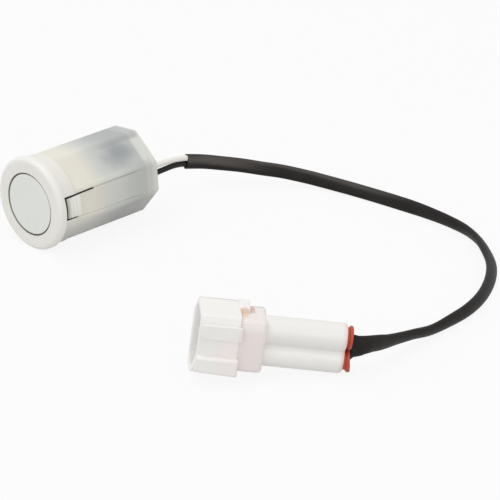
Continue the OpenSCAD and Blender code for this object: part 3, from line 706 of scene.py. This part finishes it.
# Slab with rounded ends: rounded rectangles that draw in at both ends
def slab(width, height, corner, start, end, centre, edge):
    drawIn = ((2, 0.6, 0), (0.6, 0.85, 0.3), (0, 1, 1))  # in by, corner's share, along by
    front, back = ([[width - d * edge, height - d * edge, corner * c, face + way * a * edge]
                    for d, c, a in drawIn] for face, way in ((start, 1), (end, -1)))
    return stackRows([[0, 0, 0, start], *front, *back[::-1], [0, 0, 0, end]], centre)


# How far the mouth's edge is set back: along the near side and the top; the bottom bows out a little
def mouthBack(x, y, s):
    width, height = s["hood"][:2]
    far = np.clip(0.5 + x / width, 0, 1)
    down = np.clip((height / 2 - y) / s["lipSideOver"], 0, 1)
    foot = np.clip((s["lipFootFrom"] - y) / s["lipFootOver"], 0, 1) ** 1.5
    bow = 6.75 * far * (1 - far) ** 2  # 1 at a third of the way across
    farSide = s["lipTop"] + s["lipSide"] * down * down * (3 - 2 * down)
    return s["lipBack"] - far * farSide - foot * (s["lipBack"] * (1 - far) + s["lipBow"] * bow)


# Hood and base: from the floor of the base's cavity out to the mouth, round its lip and back outside
def addShell(s):
    (hw, hh, hc), (bw, bh, bc) = s["hood"], s["base"]
    iw, ih = hw - 2 * s["hoodWall"], hh - 2 * s["hoodWall"]
    jw, jh = bw - 2 * s["baseWall"], bh - 2 * s["baseWall"]
    mouth, back, end, floor = connector["mouth"], baseStart, tubesStart, s["floor"]
    (x0, x1), (z0, z1) = s["window"], s["windowAlong"]
    left, right = bc - bw / 2 * (1 - sideLean[0]), bw / 2 * (1 - sideLean[1]) - bc
    edges = np.array([x0, x0 + 0.06, x1 - 0.06, x1])
    topShares = np.sort(np.concatenate([evenShares, (right - edges) / (right - left)]))
    rows = [[0, 0, 0, floor], [jw, jh, 0.8, floor], [jw, jh, 0.8, back], [iw, ih, 0.6, back],
            [iw, ih, 0.6, mouth + 0.3], [iw + 0.1, ih + 0.1, 0.65, mouth + 0.1],
            [iw + 0.3, ih + 0.3, 0.75, mouth], [hw - 0.4, hh - 0.4, hc - 0.2, mouth],
            [hw - 0.13, hh - 0.13, hc - 0.06, mouth + 0.1],
            [hw, hh, hc, mouth + 0.35], [hw, hh, hc, back - 0.3], [hw - 0.12, hh - 0.12, hc, back - 0.09],
            [hw - 0.4, hh - 0.4, hc, back], [bw + 0.3, bh + 0.3, bc, back], [bw, bh, bc, back + 0.14],
            [bw, bh, bc, z0], [bw, bh, bc, z0 + 0.06], [bw, bh, bc, z1 - 0.06], [bw, bh, bc, z1]]
    turns = np.radians(np.linspace(0, 90, 7))
    inset = s["rearRound"] * (1 - np.cos(turns))
    rear = [bw - 2 * inset, bh - 2 * inset, bc - 0.8 * inset, end - s["rearRound"] * (1 - np.sin(turns))]
    rows = np.concatenate([rows, np.stack(rear, axis=-1), [[0, 0, 0, end]]])
    grid = stackRows(rows, topShares=topShares, lean=sideLean)
    atMouth = (rows[:, 3] < mouth + 0.5)[:, None]
    grid[..., 2] += atMouth * mouthBack(grid[..., 0], grid[..., 1], s)
    # window: the top between its edges sinks in
    onTop = np.abs(grid[..., 1] - bh / 2) < 0.01
    inWindow = ((grid[..., 0] > x0 + 0.03) & (grid[..., 0] < x1 - 0.03)
                & (grid[..., 2] > z0 + 0.03) & (grid[..., 2] < z1 - 0.03))
    grid[..., 1] -= s["windowDeep"] * (onTop & inWindow)
    grids = [grid]
    for side in (-1, 1):
        x = side * hw / 2
        t, h, y = s["panel"]
        grids.append(slab(2 * t, h, 0.2, *s["panelAlong"], (x, y + h / 2), 0.2))
        t, h, y = s["rail"]
        start, stop = s["railAlong"]
        rail = slab(2 * t, h, 0.7, start, stop, (x, y - h / 2), 0.3)
        # the rail's front follows the lip, and its lower edge drops towards the back
        rail[:4, :, 2] -= s["railFoot"] * np.clip((y - rail[:4, :, 1]) / h, 0, 1)
        drop = np.clip(1 - (stop - rail[..., 2]) / s["railDropOver"], 0, 1) * (rail[..., 1] < y - h / 2)
        rail[..., 1] -= s["railDrop"] * drop
        grids.append(rail)
    w, h, length = s["lug"]
    start = back + s["lugFront"]
    grids.append(slab(w, 2 * h + 2, 0.3, start, start + length, (s["lugX"], hh / 2 - 1), 0.3))
    skins = [(fromConnector(g), False, True) for g in grids + twinTubes(tubes)]
    return addPiece("connectorShell", skins, nylonMaterial, ["connector_housing"], 30)


tubes = {"radius": 3.2, "round": 0.45, "footRound": 0.45, "waist": 9.0, "bore": 2.3, "boreDepth": 5.0}


# Twin tubes: half width over height is a high-power sum of the two circles, which fills the waist between
# them; the ends are rounded over, the lower one more
def twinTubes(t):
    r, pitch = t["radius"], seatHeight
    low = math.asin(-pitch / r)
    around = np.linspace(low, math.pi - low, 61)
    y = pitch + r * np.sin(around)
    own = np.abs(r * np.cos(around))
    other = np.sqrt(np.maximum(r**2 - (y + pitch) ** 2, 0))
    half = (own ** t["waist"] + other ** t["waist"]) ** (1 / t["waist"])
    upper = np.stack([np.sign(np.cos(around)) * half, np.maximum(y, 0)], axis=-1)
    outline = np.concatenate([upper, -upper[1:-1]])
    tangent = unit(np.roll(outline, -1, axis=0) - np.roll(outline, 1, axis=0))
    inward = np.stack([-tangent[:, 1], tangent[:, 0]], axis=-1)
    edge = t["round"] + t["footRound"] * np.clip(-outline[:, 1] / pitch, 0, 1)
    turn = np.radians(np.linspace(0, 90, 7))[:, None]
    skin = outline[None] + (edge * (1 - np.cos(turn)))[..., None] * inward[None]
    deep = -edge * (1 - np.sin(turn))
    skin = np.concatenate([0 * skin[:1], skin[:1], skin[:1], skin])
    deep = np.concatenate([np.full((2, len(edge)), tubesStart - 0.5), deep[:1] - 3, deep])
    outer = np.concatenate([skin, deep[..., None]], axis=-1)
    # each end face: from the half outline and the waist line to the bore, and down the bore
    last, count = outer[-1], len(upper)
    grids = [outer]
    for side in (1, -1):
        rimHalf = last[:count] if side > 0 else np.concatenate([last[count - 1:], last[:1]])
        line = rimHalf[-1] + (rimHalf[0] - rimHalf[-1]) * np.linspace(0, 1, 12)[1:-1, None]
        border = np.concatenate([rimHalf, line])
        spoke = unit(border[:, :2] - [0, side * pitch])
        rings = [border]
        for radius, depth in ((t["bore"] + 0.2, 0), (t["bore"] + 0.05, -0.06), (t["bore"], -0.25),
                              (t["bore"], -t["boreDepth"]), (0, -t["boreDepth"])):
            ring = spoke * radius + [0, side * pitch]
            rings.append(np.concatenate([ring, np.full((len(border), 1), depth)], axis=1))
        grids.append(np.stack(rings))
    return grids


# Retainer, glass-filled nylon: brick red, slightly mottled, seen in the hood and at the window
retainerMaterial = surfaceMaterial("red_nylon_moulded", {
    "light": "C46B57", "dark": "B4574A", "patchMm": 2.5, "grainMm": 0.4, "grainDeep": 0.02, "rough": 0.45,
    "glow": 0.2, "glowMm": (1.0, 0.4, 0.3)})[0]
retainer = {"width": 7.3, "height": 10.3, "start": -23.5, "end": shell["floor"], "tab": 3.2,
            "tabAlong": (-21.45, -20.45), "tabX": 2.1, "tabTop": 5.75}


def addRetainer(r):
    body = slab(r["width"], r["height"], 0.8, r["start"], r["end"], (0, 0), 0.15)
    tab = slab(r["tab"], r["tabTop"], 0.2, *r["tabAlong"], (r["tabX"], r["tabTop"] / 2), 0.12)
    skins = [(fromConnector(g), False, True) for g in (body, tab)]
    return addPiece("terminalRetainer", skins, retainerMaterial, ["terminal_retainer"])


# Tinned brass strip, stamped: pale metal with a soft rolled shine
terminalMaterial = surfaceMaterial("tinned_brass_strip", {
    "light": "CFC9B8", "dark": "BDB59E", "patchMm": 1.5, "grainMm": 0.2, "grainDeep": 0.005, "rough": 0.28,
    "metallic": 1.0})[0]
terminal = {"blade": (0.64, 1.8), "tip": -27.4, "taper": 0.9, "box": 2.3, "barrel": 2.3, "barrelFrom": -9.4,
            "barrelTo": -5.4}


# Terminal: rounded rectangles from the narrowed tip of the blade to the box and the round barrel
def addTerminal(level, side, t):
    (bt, bw), tip, box, neck = t["blade"], t["tip"], t["box"], tubesStart - 0.5
    rows = [[0, 0, 0, tip], [bt * 0.35, bw * 0.45, 0.08, tip], [bt * 0.7, bw * 0.6, 0.12, tip + 0.25],
            [bt, bw, 0.12, tip + t["taper"]], [bt, bw, 0.12, neck], [box - 0.2, box - 0.2, 0.2, neck],
            [box, box, 0.3, neck + 0.2], [box, box, 0.3, t["barrelFrom"] - 0.2],
            [box, box, 1.1, t["barrelFrom"]], [t["barrel"], t["barrel"], 1.14, t["barrelTo"]],
            [0, 0, 0, t["barrelTo"]]]
    grid = fromConnector(stackRows(rows, (0, side * seatHeight)))
    return addPiece(level + "Terminal", [(grid, False, True)], terminalMaterial,
                    [level + "_terminal"])


# Wire seal, silicone rubber: matte orange red, a little darker in its folds
sealMaterial = surfaceMaterial("moulded_silicone_rubber", {
    "light": "C04F36", "dark": "AB4029", "patchMm": 1.5, "grainMm": 0.25, "grainDeep": 0.02,
    "rough": 0.5})[0]
seal = {"body": 2.27, "valley": 0.35, "length": 4.5, "ribs": 3, "neck": 2.3, "lip": lead["sealLip"],
        "lipThick": 0.75, "lipRadius": 2.72, "lipStretch": 0.12, "hole": 0.76,
        "bend": {"upper": 0.1, "lower": 0.6}}


# Seal: ribs follow a cosine along the body, then a neck and a lip outside the tube; bend tips the lip's
# outer side out, and the lips press flat where the two seals meet
def addSeal(level, side, s):
    bend = s["bend"][level]
    z = np.linspace(-s["length"], -0.2, 37)
    ribTurn = fullTurn * s["ribs"] * (z + s["length"]) / s["length"]
    ribs = s["body"] - s["valley"] * (0.5 + 0.5 * np.cos(ribTurn))
    r, top, edge = s["lipRadius"], s["lip"], s["lipThick"] / 2
    lip = np.concatenate([[[s["neck"], 0.0], [s["neck"], top - 2 * edge - 0.02]],
                          arc((r - edge, top - edge), edge, -80, 90, 10),
                          [[s["hole"] + 0.5, top], [s["hole"] + 0.12, top - 0.05], [s["hole"], top - 0.2]]])
    profile = np.concatenate([[[s["hole"], -s["length"]]], np.stack([ribs, z], axis=-1), lip])
    around = np.linspace(0, fullTurn, 64, endpoint=False)[None]
    radius, distance = profile[:, :1], profile[:, 1:] + 0 * around
    out = np.clip(distance / top, 0, 1)
    away = (0.5 + 0.5 * side * np.sin(around)) ** 2  # 1 on the side away from the other seal
    distance = distance + bend * out * away
    radius = radius * (1 + s["lipStretch"] * bend * out * away)
    height = side * np.maximum(seatHeight + side * radius * np.sin(around), 0.03)
    local = np.stack([radius * np.cos(around), height, distance], axis=-1)
    return addPiece(level + "Seal", [(fromConnector(local), True, True)], sealMaterial,
                    [level + "_wire_seal"])


nylonMaterial = addNylonMaterial(nylonFinish)
levels = (("upper", 1), ("lower", -1))
connectorPieces = [addShell(shell), addRetainer(retainer)]
connectorPieces += [addTerminal(level, side, terminal) for level, side in levels]
connectorPieces += [addSeal(level, side, seal) for level, side in levels]
print("connector built")

# Sealed inner pieces keep their CAD shapes: rubber, silvered ceramic, foam, laminate, fired ceramic, enamel
enamel = {"light": "A8452F", "dark": "8A3524", "rough": 0.3}
innerFinishes = {
    "decoupling_ring": ("cast_silicone_cream", {"light": "DDD5BF", "dark": "CFC6AE", "rough": 0.55}),
    "piezo_disc": ("silvered_piezo_ceramic", {"light": "BDB7AA", "dark": "A39C8D", "rough": 0.35}),
    "damping_pad": ("closed_cell_foam", {"light": "3E3D3B", "dark": "2A2928", "rough": 0.8}),
    "carrier_board": ("glass_laminate_board", {"light": "2F7049", "dark": "245C3B", "rough": 0.4}),
    "compensation_capacitor": ("fired_ceramic_block", {"light": "9C7450", "dark": "7F5B3C", "rough": 0.45}),
    "piezo_lead_positive": ("enamelled_copper_wire", enamel),
    "piezo_lead_ground": ("enamelled_copper_wire_ground", enamel)}
for node, (name, finish) in innerFinishes.items():
    made = surfaceMaterial(name, {"patchMm": 2.0, "grainMm": 0.3, "grainDeep": 0.02} | finish)[0]
    if not nodes[node].material_slots:
        nodes[node].data.materials.append(made)
    for slot in nodes[node].material_slots:
        slot.material = made
print("inner pieces finished")

# Pale floor: white to the camera and in reflections, with part of its own light and shade kept
stage = {"floorSize": 6.0, "floorGap": 0.02, "floorColour": "DCDCDC", "keepShade": 0.11, "world": 0.7,
         "lightAim": (0.05, 0.03, 0), "lights": {
             "keyLight": {"energy": 9.1, "size": 1.4, "at": (-0.2, -0.5, 1.5)},
             "fillLight": {"energy": 3.8, "size": 1.2, "at": (1.3, -0.8, 0.7)}}}


def whiteToCamera(tree):
    ray = addNode(tree, "ShaderNodeLightPath").outputs
    seen = addNode(tree, "ShaderNodeMath", {0: ray["Is Camera Ray"], 1: ray["Is Glossy Ray"]},
                   operation="MAXIMUM").outputs[0]
    return addNode(tree, "ShaderNodeMath", {0: seen, 1: ray["Is Transmission Ray"]},
                   operation="MAXIMUM").outputs[0]


def addFloor(s):
    half = s["floorSize"] / 2
    mesh = bpy.data.meshes.new("floor")
    z = cadLow[2] - s["floorGap"] * mm
    corners = [(half * x, half * y, z) for x, y in ((-1, -1), (1, -1), (1, 1), (-1, 1))]
    mesh.from_pydata(corners, [], [(0, 1, 2, 3)])
    material = bpy.data.materials.new("pale_floor")
    tree = emptyTree(material)
    matte = addNode(tree, "ShaderNodeBsdfDiffuse", {"Color": linear(s["floorColour"])})
    white = addNode(tree, "ShaderNodeEmission", {"Color": linear("FFFFFF"), "Strength": 1.0})
    share = addNode(tree, "ShaderNodeMath", {0: whiteToCamera(tree), 1: 1 - s["keepShade"]},
                    operation="MULTIPLY")
    mix = addNode(tree, "ShaderNodeMixShader",
                  {0: share.outputs[0], 1: matte.outputs[0], 2: white.outputs[0]})
    addNode(tree, "ShaderNodeOutputMaterial", {"Surface": mix.outputs[0]})
    mesh.materials.append(material)
    floor = putInScene("floor", mesh)


def addSoftLight(name, c):
    data = bpy.data.lights.new(name, "AREA")
    data.energy = c["energy"]
    data.shape = "DISK"
    data.size = c["size"]
    light = putInScene(name, data)
    light.location = c["at"]
    aim = np.array(stage["lightAim"]) - np.array(c["at"])
    tilt, turn = math.atan2(math.hypot(aim[0], aim[1]), -aim[2]), math.atan2(aim[1], aim[0]) - math.pi / 2
    light.rotation_euler = (tilt, 0, turn)


def addWorld(s):
    world = bpy.data.worlds.new("studio")
    bpy.context.scene.world = world
    tree = emptyTree(world)
    level = addNode(tree, "ShaderNodeMapRange",
                    {"Value": whiteToCamera(tree), "To Min": s["world"], "To Max": 1.0})
    glow = addNode(tree, "ShaderNodeBackground", {"Color": linear("FFFFFF"), "Strength": level.outputs[0]})
    addNode(tree, "ShaderNodeOutputWorld", {"Surface": glow.outputs[0]})


addFloor(stage)
for name, light in stage["lights"].items():
    addSoftLight(name, light)
addWorld(stage)
bpy.context.scene.view_settings.view_transform = "Standard"
print("stage lit")
